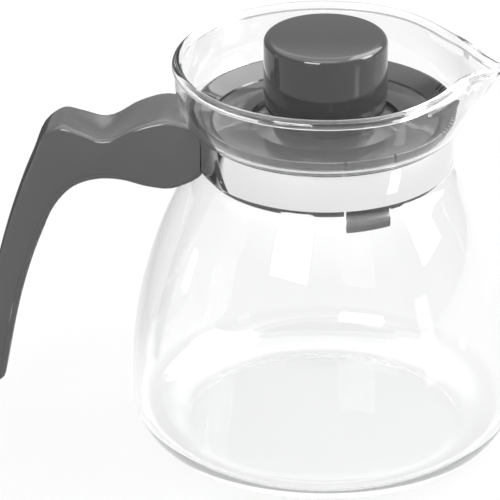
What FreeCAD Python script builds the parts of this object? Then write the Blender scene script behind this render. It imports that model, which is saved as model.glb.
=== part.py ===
import FreeCAD, Part
import math
import os

# Glass serving jug with a strap band, a side handle and a strainer lid.
# Millimetres, +Z up. The origin is the centre of the flat base. The pouring lip
# points along +X and the handle along -X.

# Glass
belly_r = 73.45
corner_width = 18.0
corner_height = 17.5
glass_wall = 1.8
floor_height = 2.8
neck_r = 47.0
neck_low = 113.0
neck_high = 127.7
bowl_r = 56.2
bowl_full = 145.0
rim_height = 151.5
bead_r = 1.94
lip_spread = math.radians(31)

# Band
band_low = 113.2
band_height = 14.4
liner_gap = 0.05
liner_thick = 0.6
strap_thick = 0.5
strap_bend = 1.5
strap_pitch = 0.4
strap_end = -62.5

# Clamp: an M4 screw across the handle
screw_play = 0.2
socket_width = 1.2
socket_depth = 1.2
clamp_x = -57.0
clamp_z = band_low + band_height / 2
screw_r = 2.0
screw_head_r = 3.8
screw_head = 2.4
washer_r = 4.5
washer_thick = 0.8
recess_r = 4.8
recess_depth = 5.4
plug_sink = 0.8
plug_thick = 1.2
insert_r = 3.2
insert_length = 8.0
insert_play = 0.05
insert_groove = 0.5
slot_half = 1.6
slot_length = 20.0
slot_play = 0.5
strap_play = 0.15
across = 20.0

# Handle
handle_front = -47.0
handle_half = 17.0
handle_taper = 0.13
head_half = 14.1
handle_edge = 2.2
handle_wall = 3.0
cover_thick = 2.4
handle_gap = 0.3
handle_reach = 150.0
slab_half = 30.0
cover_points = 8
cover_overcut = 3.0

# Self-tapping screws of the handle's cover and of the lid's plate
thread_r = 1.2
pilot_r = 1.25
drive_width = 0.6
drive_length = 3.0
cover_head_r = 2.7
cover_head = 1.5
cover_head_sink = 0.2
cover_screw_length = 7.6
cover_pilot_end = 9.6
cover_hole_r = 1.6
cover_recess_r = 2.9
cover_recess = 1.8
cover_boss_r = 3.4
cover_boss_start = 2.6
cover_boss_end = 16.0
plate_hole_r = 1.5
plate_head_r = 2.4
plate_head = 1.3
plate_screw_length = 6.5
plate_pilot = 8.0

# Lid
seam_r = 43.6
seat_wall_r = 42.5
seam_gap = 0.4
rim_gap = 0.7
seam_z = 129.2
flange_r = 49.3
flange_top = 134.2
flange_edge = 0.9
flange_under = [(45.0, 128.4), (46.0, 130.0), (48.3, 130.5)]
flange_rim_low = 131.5
skirt_r = 43.9
skirt_wall = 1.7
skirt_low = 109.0
seat_r = 40.6
seat_z = 127.0
seat_thick = 1.6
seat_play = 0.25
knob_r = 23.15
knob_foot_r = 20.4
knob_top = 163.4
knob_edge = 2.6
knob_wall = 2.2
knob_face_drop = 0.2
knob_flare = [(22.2, 134.2), (knob_r, 142.0)]
knob_hollow = (132.0, 141.0)
knob_chamfer = 1.2
disc_thick = 1.9
spigot_r = 40.2
spigot_wall = 2.2
spigot_low = 125.2
plate_r = 41.6
plate_thick = 1.6
boss_circle = 14.0
boss_r = 3.0
boss_count = 3

# Strainer slots and snap tongues
comb_count = 19
comb_pitch = math.radians(3)
comb_width = 1.2
comb_root = 46.4
comb_high = 124.6
tongue_middle = math.radians(67)
tongue_half = math.radians(11)
tongue_low = 102.4
tongue_top = 126.3
tongue_slit = 1.0
slit_root = 45.4
slit_middle = math.radians(68.7)
slit_half = math.radians(11.3)
hook_r = 44.9
hook_top = 107.4
hook_edge = 0.8
tongue_gap = 0.3


def point(r, z):
    return FreeCAD.Vector(r, 0, z)


def line(a, b):
    return Part.LineSegment(a, b).toShape()


def arc(a, b, c):
    return Part.Arc(a, b, c).toShape()


def spline(points, start=None, end=None):
    curve = Part.BSplineCurve()
    if start is None:
        curve.interpolate(Points=points)
    else:
        curve.interpolate(Points=points, InitialTangent=start, FinalTangent=end)
    return curve.toShape()


def quarter(a, b):
    """Quarter of an ellipse, leaving a along the floor and reaching b upright."""
    k = 0.5523
    curve = Part.BezierCurve()
    curve.setPoles([a, point(a.x + k * (b.x - a.x), a.z), point(b.x, b.z - k * (b.z - a.z)), b])
    return curve.toShape()


def shifted(points, distance):
    """Points of an outline in XZ, moved to the left of its direction."""
    out = []
    for i, p in enumerate(points):
        before = points[max(i - 1, 0)]
        after = points[min(i + 1, len(points) - 1)]
        along = (after - before).normalize()
        out.append(p + FreeCAD.Vector(-along.z, 0, along.x) * distance)
    return out


def mirrored(p):
    return FreeCAD.Vector(p.x, -p.y, p.z)


def closed_face(edges):
    return Part.Face(Part.Wire(edges))


def turned(edges):
    face = closed_face(edges)
    return face.revolve(FreeCAD.Vector(0, 0, 0), FreeCAD.Vector(0, 0, 1), 360)


def turned_polygon(corners):
    points = [point(r, z) for r, z in corners]
    return turned([line(a, b) for a, b in zip(points, points[1:] + points[:1])])


def ring(inner, outer, low, high):
    return turned_polygon([(inner, low), (outer, low), (outer, high), (inner, high)])


def along_y(radius, start, end, x=clamp_x, z=clamp_z):
    low = min(start, end)
    base = FreeCAD.Vector(x, low, z)
    return Part.makeCylinder(radius, abs(end - start), base, FreeCAD.Vector(0, 1, 0))


def belly_points():
    pairs = [(belly_r, 24), (72.1, 46), (66.9, 70), (58.1, 94), (50.3, 108), (neck_r, neck_low)]
    return [point(r, z) for r, z in pairs]


def bowl_points():
    pairs = [(neck_r, neck_high), (50.4, 129.2), (54.0, 134.4), (bowl_r, bowl_full)]
    return [point(r, z) for r, z in pairs]


up = FreeCAD.Vector(0, 0, 1)
outward = FreeCAD.Vector(1, 0, 0.1)


def jug_outside(extra=0.0):
    """Solid of revolution inside the jug's outer face, larger by extra for clearances."""
    belly = shifted(belly_points(), -extra)
    bowl = shifted(bowl_points(), -extra)
    corner = point(belly_r - corner_width, -extra)
    wide = point(belly_r + extra, corner_height)
    top = rim_height
    return turned([
        line(point(0, -extra), corner),
        quarter(corner, wide),
        line(wide, belly[0]),
        spline(belly, up, up),
        line(belly[-1], bowl[0]),
        spline(bowl, outward, up),
        line(bowl[-1], point(bowl_r + extra, top)),
        line(point(bowl_r + extra, top), point(0, top)),
        line(point(0, top), point(0, -extra)),
    ])


def jug_inside():
    belly = shifted(belly_points(), glass_wall)
    bowl = shifted(bowl_points(), glass_wall)
    inner_neck = neck_r - glass_wall
    corner = point(belly_r - corner_width - 1, floor_height)
    wide = point(belly_r - glass_wall, corner_height)
    belly[-1] = point(inner_neck, neck_low)
    bowl[0] = point(neck_r, neck_high + glass_wall)
    above = rim_height + 3 * bead_r
    shoulder = point(inner_neck, neck_high + 0.2)
    return turned([
        line(point(0, floor_height), corner),
        quarter(corner, wide),
        line(wide, belly[0]),
        spline(belly, up, up),
        line(belly[-1], shoulder),
        arc(shoulder, point(inner_neck + 0.5, neck_high + 1.35), bowl[0]),
        spline(bowl, outward, up),
        line(bowl[-1], point(bowl[-1].x, above)),
        line(point(bowl[-1].x, above), point(0, above)),
        line(point(0, above), point(0, floor_height)),
    ])


# Pouring lip: height, radius of the middle of the wall, reach and roundness of the tip
lip_levels = [
    (136.6, 53.9, 53.7, 28.0),
    (141.0, 54.9, 57.2, 15.0),
    (144.8, 55.3, 60.7, 8.5),
    (148.0, 55.3, 63.6, 4.6),
    (rim_height, 55.3, 65.0, 3.0),
]


def lip_flank(z, middle_r, reach, tip_r):
    """Corner of the lip on the wall and the point where the flank meets the tip's arc."""
    corner = FreeCAD.Vector(middle_r * math.cos(lip_spread), middle_r * math.sin(lip_spread), z)
    centre = FreeCAD.Vector(reach - tip_r, 0, z)
    away = corner - centre
    swing = math.atan2(away.y, away.x) - math.acos(tip_r / away.Length)
    normal = FreeCAD.Vector(math.cos(swing), math.sin(swing), 0)
    return corner, centre, normal


def lip_solid(offset, overshoot=0.0):
    wires = []
    for z, middle_r, reach, tip_r in lip_levels:
        corner, centre, normal = lip_flank(z, middle_r, reach, tip_r)
        root = corner + normal * offset
        touch = centre + normal * (tip_r + offset)
        tip = centre + FreeCAD.Vector(tip_r + offset, 0, 0)
        wires.append(Part.Wire([
            line(mirrored(root), mirrored(touch)), arc(mirrored(touch), tip, touch),
            line(touch, root), line(root, mirrored(root)),
        ]))
    nose = Part.makeLoft(wires, True, False)
    if overshoot:
        top = Part.Face(wires[-1]).extrude(FreeCAD.Vector(0, 0, overshoot))
        nose = nose.fuse(top)
    return nose


def bead():
    """Round bead along the rim and the lip, in one level plane."""
    z, middle_r, reach, tip_r = lip_levels[-1]
    corner, centre, normal = lip_flank(z, middle_r, reach, tip_r)
    circle = Part.Face(Part.Wire(Part.makeCircle(bead_r, point(middle_r, z), FreeCAD.Vector(0, 1, 0))))
    circle.rotate(FreeCAD.Vector(0, 0, 0), up, math.degrees(lip_spread))
    body = circle.revolve(FreeCAD.Vector(0, 0, 0), up, 360 - 2 * math.degrees(lip_spread))
    spot = Part.Face(Part.Wire(Part.makeCircle(bead_r, point(0, z), FreeCAD.Vector(0, 1, 0))))
    turn = math.degrees(math.atan2(normal.y, normal.x))
    spot.translate(FreeCAD.Vector(tip_r, 0, 0))
    spot.rotate(point(0, z), up, -turn)
    spot.translate(FreeCAD.Vector(centre.x, 0, 0))
    body = body.fuse(spot.revolve(centre, up, 2 * turn))
    for side in (1, -1):
        start = FreeCAD.Vector(corner.x, side * corner.y, z)
        end = centre + FreeCAD.Vector(normal.x, side * normal.y, 0) * tip_r
        body = body.fuse(Part.makeCylinder(bead_r, (end - start).Length, start, end - start))
        body = body.fuse(Part.makeSphere(bead_r, start))
    return body


def glass_jug():
    outside = jug_outside().fuse(lip_solid(glass_wall / 2))
    inside = jug_inside().fuse(lip_solid(-glass_wall / 2, 3 * bead_r))
    return outside.cut(inside).fuse(bead()).removeSplitter()


def band_liner():
    inner = neck_r + liner_gap
    return ring(inner, inner + liner_thick, band_low, band_low + band_height)


def strap_edges(offset):
    """One face of the strap seen from above: flange, bend, circle, bend, flange."""
    middle = neck_r + liner_gap + liner_thick + liner_gap + strap_thick / 2
    rise = strap_pitch + strap_bend
    centre_x = -math.sqrt((middle + strap_bend) ** 2 - rise ** 2)
    bend = strap_bend - offset
    toward = FreeCAD.Vector(-centre_x, -rise, 0).normalize()
    flange_y = strap_pitch + offset
    centre = FreeCAD.Vector(centre_x, rise, 0)
    end = FreeCAD.Vector(strap_end, flange_y, 0)
    low = FreeCAD.Vector(centre_x, flange_y, 0)
    meet = centre + toward * bend
    halfway = centre + (toward + FreeCAD.Vector(0, -1, 0)).normalize() * bend
    far = FreeCAD.Vector(middle + offset, 0, 0)
    return [
        line(end, low), arc(low, halfway, meet), arc(meet, far, mirrored(meet)),
        arc(mirrored(meet), mirrored(halfway), mirrored(low)), line(mirrored(low), mirrored(end)),
    ], end


def band_strap():
    half = strap_thick / 2
    outer, outer_end = strap_edges(half)
    inner, inner_end = strap_edges(-half)
    tips = [line(outer_end, inner_end), line(mirrored(outer_end), mirrored(inner_end))]
    wire = Part.Wire(Part.__sortEdges__(outer + inner + tips))
    strap = Part.Face(wire).extrude(FreeCAD.Vector(0, 0, band_height))
    strap.translate(FreeCAD.Vector(0, 0, band_low))
    return strap.cut(along_y(screw_r + screw_play, -across, across))


def handle_top_points():
    pairs = [
        (-42, 126.0), (-50, 130.7), (-59.5, 132.9), (-70, 130.2), (-83, 124.4), (-92, 127),
        (-98.3, 128.4), (-103.8, 125.3), (-110.5, 111.5), (-117.2, 94), (-123.8, 72),
        (-129.5, 47), (-133.3, 24.3),
    ]
    return [point(x, z) for x, z in pairs]


def handle_low_points():
    pairs = [
        (-122.3, 22.5), (-118.9, 40.5), (-113.7, 62.9), (-107, 83), (-101.1, 96.1),
        (-94.4, 103.6), (-84.4, 107.6), (-76, 107.8), (-66, 105.6), (-58, 104.9),
        (-50.6, 107.4), (-42, 113.0),
    ]
    return [point(x, z) for x, z in pairs]


def taper_half_at(x):
    """Half width of the tapered blank that the handle is cut from."""
    return handle_half + handle_taper * (x - handle_front)


def handle_half_at(x):
    """Half width of the handle: parallel at the head, narrowing steadily to the arm's end."""
    return min(head_half, taper_half_at(x))


def wedge(inset):
    near = handle_front + 10
    far = -handle_reach
    corners = [(near, 1), (far, 1), (far, -1), (near, -1)]
    points = [FreeCAD.Vector(x, side * (taper_half_at(x) - inset), 0) for x, side in corners]
    face = closed_face([line(a, b) for a, b in zip(points, points[1:] + points[:1])])
    return face.extrude(FreeCAD.Vector(0, 0, handle_reach))


def slab(edges):
    """Side-view outline carried right across the handle."""
    face = closed_face(edges)
    face.translate(FreeCAD.Vector(0, -slab_half, 0))
    return face.extrude(FreeCAD.Vector(0, 2 * slab_half, 0))


def handle_outline(side, depth, inset):
    """The side view drawn on a cheek of the handle, depth under its face and inset all round."""
    top = shifted(handle_top_points(), inset)
    low = shifted(handle_low_points(), inset)
    middle = (top[-1] + low[0]) * 0.5
    half = low[0] - middle
    tip = middle + FreeCAD.Vector(half.z, 0, -half.x)

    def placed(p):
        return FreeCAD.Vector(p.x, side * (taper_half_at(p.x) - depth), p.z)

    top = [placed(p) for p in top]
    low = [placed(p) for p in low]
    return Part.Wire([spline(top), arc(top[-1], placed(tip), low[0]), spline(low), line(low[-1], top[0])])


def handle_blank():
    steps = [(0, handle_edge), (0.3 * handle_edge, 0.3 * handle_edge), (handle_edge, 0)]
    wires = [handle_outline(-1, depth, inset) for depth, inset in steps]
    wires += [handle_outline(1, depth, inset) for depth, inset in reversed(steps)]
    head = Part.makeBox(
        handle_reach, 2 * head_half, handle_reach, FreeCAD.Vector(-handle_reach, -head_half, 0))
    return Part.makeLoft(wires, True, True).common(head)


def cover_region():
    low = handle_low_points()[:cover_points]
    outer = shifted(low, -cover_overcut)
    inner = shifted(low, cover_thick)
    return slab([spline(outer), line(outer[-1], inner[-1]), spline(inner), line(inner[0], outer[0])])


def pocket():
    top = shifted(handle_top_points()[3:12], handle_wall)
    low = shifted(handle_low_points()[1:cover_points], cover_thick - 1)
    side = [spline(top), line(top[-1], low[0]), spline(low), line(low[-1], top[0])]
    return slab(side).common(wedge(handle_wall))


def cover_screw_places():
    """Where the two cover screws enter, and the way they point."""
    return [
        (point(-80, 108.0), FreeCAD.Vector(0.05, 0, 1)),
        (point(-113.2, 64.2), FreeCAD.Vector(-0.94, 0, 0.27)),
    ]


def cover_screw_axis(radius, start, end):
    solids = []
    for place, way in cover_screw_places():
        way = FreeCAD.Vector(way).normalize()
        solids.append(Part.makeCylinder(radius, end - start, place + way * start, way))
    return solids


def handle_inner_cover():
    cover = handle_blank().common(cover_region())
    holes = cover_screw_axis(cover_hole_r, -cover_overcut, 2 * cover_thick)
    holes += cover_screw_axis(cover_recess_r, -cover_overcut, cover_recess)
    for hole in holes:
        cover = cover.cut(hole)
    return cover


def handle_shell():
    body = handle_blank()
    posts = cover_screw_axis(cover_boss_r, cover_boss_start, cover_boss_end)
    bosses = [post.common(body) for post in posts]
    body = body.cut(cover_region()).cut(pocket())
    for post in bosses:
        body = body.fuse(post.cut(cover_region()))
    for hole in cover_screw_axis(pilot_r, 0, cover_pilot_end):
        body = body.cut(hole)
    body = body.cut(jug_outside(handle_gap))
    strap_r = neck_r + 2 * liner_gap + liner_thick + strap_thick
    body = body.cut(
        ring(0, strap_r + strap_play, band_low - slot_play, band_low + band_height + slot_play))
    slot = Part.makeBox(
        slot_length, 2 * slot_half, band_height + 2 * slot_play,
        FreeCAD.Vector(strap_end - 3 * slot_play, -slot_half, band_low - slot_play))
    body = body.cut(slot)
    body = body.cut(along_y(screw_r + screw_play, 0, across))
    body = body.cut(along_y(recess_r, handle_half_at(clamp_x) - recess_depth, across))
    return body.cut(along_y(insert_r, 0, -slot_half - insert_length))


def clamp_washer():
    seat = handle_half_at(clamp_x) - recess_depth
    washer = along_y(washer_r, seat, seat + washer_thick)
    return washer.cut(along_y(screw_r + screw_play, 0, across))


def clamp_screw():
    seat = handle_half_at(clamp_x) - recess_depth + washer_thick
    shank = along_y(screw_r, -slot_half - insert_length + 1, seat)
    head = along_y(screw_head_r, seat, seat + screw_head)
    socket = Part.makeBox(
        socket_width, screw_head, 2 * screw_head_r,
        FreeCAD.Vector(clamp_x - socket_width / 2, seat + screw_head - socket_depth,
                       clamp_z - screw_head_r))
    return head.makeFillet(screw_head / 4, [head.Edges[0]]).fuse(shank).cut(socket)


def clamp_insert():
    """Threaded brass insert moulded into the near cheek, with two grooves."""
    start = -slot_half - insert_play
    body = along_y(insert_r - insert_play, start, -slot_half - insert_length + insert_play)
    for middle in (1 / 3, 2 / 3):
        place = -slot_half - insert_length * middle
        low = place - insert_groove
        high = place + insert_groove
        groove = along_y(insert_r + 1, low, high)
        body = body.cut(groove.cut(along_y(insert_r - insert_groove, low - 1, high + 1)))
    return body.cut(along_y(screw_r + insert_play / 2, 0, -across))


def screw_plug():
    outside = handle_half_at(clamp_x) - plug_sink
    plug = along_y(recess_r - insert_play, outside - plug_thick, outside)
    return plug.makeFillet(plug_thick / 3, [plug.Edges[0], plug.Edges[2]])


def drive_bar(length, width):
    """One bar of a screw's drive, centred on the top of its head."""
    return Part.makeBox(
        length, width, drive_width, FreeCAD.Vector(-length / 2, -width / 2, -drive_width / 2))


def handle_cover_screws():
    """Two countersunk self-tapping screws."""
    screws = []
    for place, way in cover_screw_places():
        way = FreeCAD.Vector(way).normalize()
        start = place + way * cover_head_sink
        neck = start + way * cover_head
        head = Part.makeCone(cover_head_r, thread_r, cover_head, start, way)
        shank = Part.makeCylinder(thread_r, cover_screw_length, neck, way)
        drive = drive_bar(drive_length, drive_width).fuse(drive_bar(drive_width, drive_length))
        drive.Placement = FreeCAD.Placement(start, FreeCAD.Rotation(up, way))
        screws.append(head.fuse(shank).cut(drive))
    return Part.makeCompound(screws)


def sector(inner, outer, low, high, middle, half):
    """Block between two radii, two heights and two angles."""
    corners = [point(inner, low), point(outer, low), point(outer, high), point(inner, high)]
    face = closed_face([line(a, b) for a, b in zip(corners, corners[1:] + corners[:1])])
    face.rotate(FreeCAD.Vector(0, 0, 0), up, math.degrees(middle - half))
    return face.revolve(FreeCAD.Vector(0, 0, 0), up, math.degrees(2 * half))


def comb_cutters():
    cutters = []
    for i in range(comb_count):
        angle = (i - (comb_count - 1) / 2) * comb_pitch
        low = Part.makeBox(
            skirt_wall + 2, comb_width, comb_high - skirt_low + 1,
            FreeCAD.Vector(skirt_r - skirt_wall - 1, -comb_width / 2, skirt_low - 1))
        high = Part.makeBox(
            2 * (flange_r - comb_root), comb_width, 2 * (flange_top - seam_z),
            FreeCAD.Vector(comb_root, -comb_width / 2, seam_z))
        for box in (low, high):
            box.rotate(FreeCAD.Vector(0, 0, 0), up, math.degrees(angle))
            cutters.append(box)
    return cutters


def lid_ring():
    """Sloping flange, seat for the inner lid and skirt, with comb slots by the lip.

    Two short slits mark the near tongue on the flange.
    """
    inner_skirt = skirt_r - skirt_wall
    body = turned_polygon([
        (inner_skirt, skirt_low), (skirt_r, skirt_low), (skirt_r, seat_z + tongue_gap),
        *flange_under, (flange_r, flange_rim_low), (flange_r, flange_top - flange_edge),
        (flange_r - flange_edge, flange_top), (seam_r + tongue_gap, seam_z + tongue_gap),
        (seam_r, seam_z), (seat_wall_r, seat_z), (seat_r, seat_z), (seat_r, seat_z - seat_thick),
        (inner_skirt, seat_z - seat_thick),
    ])
    body = body.cut(Part.makeCompound(comb_cutters()))
    window = tongue_half + tongue_slit / skirt_r
    gaps = [sector(inner_skirt - 1, skirt_r + 1, skirt_low - 1, tongue_top + tongue_gap,
                   side * tongue_middle, window) for side in (1, -1)]
    slits = [sector(slit_root, flange_r + 1, seam_z, flange_top + 1,
                    edge * slit_half - slit_middle, tongue_slit / 2 / flange_r)
             for edge in (1, -1)]
    return body.cut(Part.makeCompound(gaps + slits))


def latch_tongue(side):
    """Snap tongue: a strip of the skirt with an outward hook at its foot."""
    inner = skirt_r - skirt_wall
    strip = sector(inner, skirt_r, tongue_low, tongue_top, side * tongue_middle, tongue_half)
    root = skirt_r - tongue_gap
    corners = [
        (root, tongue_low), (hook_r - hook_edge, tongue_low), (hook_r, tongue_low + hook_edge),
        (hook_r, hook_top - hook_edge), (root, hook_top + hook_edge / 2),
    ]
    points = [point(r, z) for r, z in corners]
    face = closed_face([line(a, b) for a, b in zip(points, points[1:] + points[:1])])
    face.rotate(FreeCAD.Vector(0, 0, 0), up, math.degrees(side * tongue_middle - tongue_half))
    hook = face.revolve(FreeCAD.Vector(0, 0, 0), up, math.degrees(2 * tongue_half))
    return strip.fuse(hook).removeSplitter()


def lid_knob():
    """Inner disc, spigot and hollow knob in one moulding, with bosses for the plate screws."""
    rim = seam_r - rim_gap
    face = seam_z - knob_face_drop
    low = seat_z + seat_play
    narrow = seat_wall_r - seam_gap
    foot = point(knob_foot_r + 0.15, face + 1.1)
    flare = [point(r, z) for r, z in knob_flare]
    edge = knob_edge * (1 - math.sqrt(0.5))
    outside = turned([
        line(point(0, spigot_low), point(spigot_r, spigot_low)),
        line(point(spigot_r, spigot_low), point(spigot_r, low)),
        line(point(spigot_r, low), point(narrow, low)),
        line(point(narrow, low), point(rim, face - 0.4)),
        line(point(rim, face - 0.4), point(rim - 0.4, face)),
        line(point(rim - 0.4, face), point(knob_foot_r + 0.6, face)),
        arc(point(knob_foot_r + 0.6, face), point(knob_foot_r + 0.1, face + 0.4), foot),
        spline([foot] + flare, FreeCAD.Vector(0.25, 0, 1), up),
        line(flare[-1], point(knob_r, knob_top - knob_edge)),
        arc(point(knob_r, knob_top - knob_edge), point(knob_r - edge, knob_top - edge),
            point(knob_r - knob_edge, knob_top)),
        line(point(knob_r - knob_edge, knob_top), point(0, knob_top)),
        line(point(0, knob_top), point(0, spigot_low)),
    ])
    throat = knob_foot_r - knob_wall
    bore = knob_r - knob_wall
    roof = knob_top - knob_wall
    under = face - disc_thick
    pocket_r = spigot_r - spigot_wall
    inside = turned_polygon([
        (0, spigot_low - 1), (pocket_r, spigot_low - 1), (pocket_r, under), (throat, under),
        (throat, knob_hollow[0]), (bore, knob_hollow[1]), (bore, roof - knob_chamfer),
        (bore - knob_chamfer, roof), (0, roof),
    ])
    body = outside.cut(inside)
    for place in boss_places(spigot_low):
        body = body.fuse(Part.makeCylinder(boss_r, roof + knob_wall / 2 - spigot_low, place))
        body = body.cut(Part.makeCylinder(pilot_r, plate_pilot, place))
    return body


def boss_places(z):
    turns = [2 * math.pi * i / boss_count for i in range(boss_count)]
    return [FreeCAD.Vector(boss_circle * math.cos(a), boss_circle * math.sin(a), z) for a in turns]


def lid_base_plate():
    """Underside plate: it closes the knob and holds the ring's seat between itself and the disc."""
    low = spigot_low - plate_thick
    body = ring(0, plate_r, low, spigot_low)
    for place in boss_places(low):
        body = body.cut(Part.makeCylinder(plate_hole_r, 3 * plate_thick, place - up * plate_thick))
    return body


def lid_plate_screws():
    """Three pan-head self-tapping screws."""
    screws = []
    for place in boss_places(spigot_low - plate_thick):
        under = place - up * plate_head
        head = Part.makeCylinder(plate_head_r, plate_head, under)
        shank = Part.makeCylinder(thread_r, plate_screw_length, place)
        drive = drive_bar(drive_length, drive_width)
        drive.translate(under)
        screws.append(head.fuse(shank).cut(drive))
    return Part.makeCompound(screws)


def main():
    os.makedirs("parts", exist_ok=True)
    parts = {
        "glass_jug": glass_jug(),
        "band_liner": band_liner(),
        "band_strap": band_strap(),
        "handle_shell": handle_shell(),
        "handle_inner_cover": handle_inner_cover(),
        "handle_cover_screws": handle_cover_screws(),
        "clamp_screw": clamp_screw(),
        "clamp_washer": clamp_washer(),
        "clamp_insert": clamp_insert(),
        "screw_plug": screw_plug(),
        "lid_ring": lid_ring(),
        "lid_knob": lid_knob(),
        "lid_base_plate": lid_base_plate(),
        "lid_plate_screws": lid_plate_screws(),
        "latch_tongue_near": latch_tongue(-1),
        "latch_tongue_far": latch_tongue(1),
    }
    for name, shape in parts.items():
        box = shape.BoundBox
        print(name, shape.isValid(), len(shape.Solids), round(shape.Volume, 1),
              [round(v, 1) for v in (box.XMin, box.XMax, box.YMin, box.YMax, box.ZMin, box.ZMax)])
        shape.exportStep("parts/%s.step" % name)


main()
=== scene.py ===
import bpy
import math
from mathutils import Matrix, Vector


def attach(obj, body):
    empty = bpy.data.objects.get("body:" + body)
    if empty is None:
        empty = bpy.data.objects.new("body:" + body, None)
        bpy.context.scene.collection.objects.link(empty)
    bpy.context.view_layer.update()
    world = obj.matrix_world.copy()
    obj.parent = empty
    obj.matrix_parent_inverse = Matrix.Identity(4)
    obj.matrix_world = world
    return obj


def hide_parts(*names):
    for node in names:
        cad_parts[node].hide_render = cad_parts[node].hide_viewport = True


# Glass serving jug: the fixed frame is loaded first, then the visible pieces are modelled over it.
# Metres, +Z up. The lip points along +X and the handle along -X.
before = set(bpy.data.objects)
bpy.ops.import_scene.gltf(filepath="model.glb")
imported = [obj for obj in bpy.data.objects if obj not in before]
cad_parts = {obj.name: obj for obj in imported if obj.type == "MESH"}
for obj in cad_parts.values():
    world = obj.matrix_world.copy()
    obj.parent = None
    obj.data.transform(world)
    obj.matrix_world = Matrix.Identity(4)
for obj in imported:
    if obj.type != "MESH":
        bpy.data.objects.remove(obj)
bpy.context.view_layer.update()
mm = 0.001
mergeReach = 1e-6
print("frame loaded:", len(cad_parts), "nodes")


def startPiece(name, place):
    # a plane merged to one vertex, put where the outline starts
    bpy.ops.object.select_all(action="DESELECT")
    bpy.ops.mesh.primitive_plane_add(size=mm)
    piece = bpy.context.object
    piece.name = name
    piece.data.name = name
    bpy.ops.object.mode_set(mode="EDIT")
    bpy.ops.mesh.select_all(action="SELECT")
    bpy.ops.mesh.merge(type="CENTER")
    bpy.ops.transform.translate(value=place)
    return piece


def drawOutline(points):
    # one extrusion for each step, so the outline is drawn point by point
    for a, b in zip(points, points[1:]):
        bpy.ops.mesh.extrude_region_move(TRANSFORM_OT_translate={"value": b - a})


def tidyMesh():
    bpy.ops.mesh.select_all(action="SELECT")
    bpy.ops.mesh.remove_doubles(threshold=mergeReach)
    bpy.ops.mesh.normals_make_consistent(inside=False)
    bpy.ops.object.mode_set(mode="OBJECT")


def onlySelect(piece):
    bpy.ops.object.select_all(action="DESELECT")
    piece.select_set(True)
    bpy.context.view_layer.objects.active = piece


def applyModifier(piece, kind, settings):
    onlySelect(piece)
    modifier = piece.modifiers.new(kind.title(), kind)
    for key, value in settings.items():
        setattr(modifier, key, value)
    bpy.ops.object.modifier_apply(modifier=modifier.name)


def cutWith(piece, cutter, operation="DIFFERENCE"):
    applyModifier(piece, "BOOLEAN", {"operation": operation, "solver": "EXACT", "object": cutter})
    bpy.data.objects.remove(cutter)


def smooth(piece, angle):
    onlySelect(piece)
    bpy.ops.object.shade_smooth_by_angle(angle=math.radians(angle))


def softenEdges(piece, width):
    # small rounding of the edges sharper than 50 degrees
    applyModifier(piece, "BEVEL", {
        "width": width * mm, "segments": 2, "limit_method": "ANGLE",
        "angle_limit": math.radians(50), "use_clamp_overlap": True,
    })


def inSection(r, z):
    return Vector((r * mm, 0, z * mm))


def roundCorners(corners, steps):
    # corners are (r, z, roundness); an arc stands in for each rounded corner
    out = []
    for i, (r, z, roundness) in enumerate(corners):
        here = inSection(r, z)
        if not roundness:
            out.append(here)
            continue
        back = inSection(*corners[i - 1][:2]) - here
        ahead = inSection(*corners[(i + 1) % len(corners)][:2]) - here
        half = back.angle(ahead) / 2
        cut = min(roundness * mm / math.tan(half), 0.49 * back.length, 0.49 * ahead.length)
        radius = cut * math.tan(half)
        centre = here + (back.normalized() + ahead.normalized()).normalized() * cut / math.cos(half)
        start = here + back.normalized() * cut - centre
        end = here + ahead.normalized() * cut - centre
        for step in range(steps + 1):
            out.append(centre + start.lerp(end, step / steps).normalized() * radius)
    return out


def flowThrough(points, parts, startWay=None, endWay=None):
    # smooth line through the points, with the slopes weighted by their spacing
    ways = []
    for i, here in enumerate(points):
        if i == 0 or i == len(points) - 1:
            given = startWay if i == 0 else endWay
            a, b = (points[0], points[1]) if i == 0 else (points[-2], points[-1])
            ways.append(Vector(given).normalized() if given else (b - a).normalized())
            continue
        back, ahead = here - points[i - 1], points[i + 1] - here
        lean = ahead / ahead.length * back.length + back / back.length * ahead.length
        ways.append(lean / (back.length + ahead.length))
    out = [points[0]]
    for i, (a, b) in enumerate(zip(points, points[1:])):
        reach = (b - a).length
        for step in range(1, parts + 1):
            t = step / parts
            out.append(
                a * (2 * t ** 3 - 3 * t ** 2 + 1) + ways[i] * reach * (t ** 3 - 2 * t ** 2 + t)
                + b * (3 * t ** 2 - 2 * t ** 3) + ways[i + 1] * reach * (t ** 3 - t ** 2))
    return out


def turnPiece(name, points, sides, closed=True):
    # the section is drawn and spun round the upright axis
    piece = startPiece(name, points[0])
    drawOutline(points + points[:1] if closed else points)
    bpy.ops.mesh.select_all(action="SELECT")
    bpy.ops.mesh.spin(steps=sides, angle=2 * math.pi, center=(0, 0, 0), axis=(0, 0, 1))
    tidyMesh()
    return piece


def carryAcross(name, points, low, high):
    # a closed side outline filled and extruded along Y
    piece = startPiece(name, points[0] + Vector((0, low * mm, 0)))
    drawOutline(points + points[:1])
    bpy.ops.mesh.select_all(action="SELECT")
    bpy.ops.mesh.remove_doubles(threshold=mergeReach)
    bpy.ops.mesh.edge_face_add()
    bpy.ops.mesh.extrude_region_move(TRANSFORM_OT_translate={"value": (0, (high - low) * mm, 0)})
    tidyMesh()
    return piece


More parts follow.
